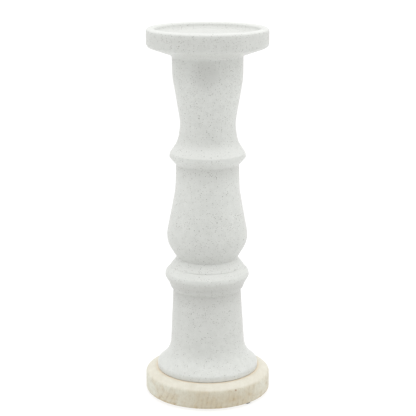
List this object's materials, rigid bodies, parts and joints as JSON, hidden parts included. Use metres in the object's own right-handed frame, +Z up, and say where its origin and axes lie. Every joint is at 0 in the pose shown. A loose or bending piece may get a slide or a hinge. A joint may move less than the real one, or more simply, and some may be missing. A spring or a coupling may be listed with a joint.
{
  "type": "candlestick",
  "caption": "Tall hollow stoneware candlestick with a shallow dish for a pillar candle, a turned column with two beads and a bulb, and a whitewashed round wood base on rubber feet.",
  "frame": {"origin": "on the axis of the column, at the level of the surface that the rubber feet rest on", "axes": "+Z up along the axis of the column, +X to the right as seen from the front, +Y to the back"},
  "size_m": [0.121, 0.121, 0.355],
  "materials": {
    "speckled_stoneware": "matt white glaze with fine dark grey specks, denser in the creases",
    "whitewashed_wood": "turned hardwood under a thin worn whitewash, with tan grain showing on the side",
    "plywood": "sanded birch plywood, unfinished",
    "epoxy": "hardened amber epoxy",
    "gasket_rubber": "thin dark foam rubber",
    "zinc_steel": "bright zinc plated steel",
    "foot_rubber": "black moulded rubber"
  },
  "bodies": {
    "root": {"stoneware_body": "speckled_stoneware", "foot_plug": "plywood", "plug_bond": "epoxy", "foot_gasket": "gasket_rubber", "wood_base": "whitewashed_wood", "base_screws": "zinc_steel", "screw_washers": "zinc_steel", "rubber_foot_right": "foot_rubber", "rubber_foot_rear": "foot_rubber", "rubber_foot_left": "foot_rubber"}
  },
  "joints": []
}
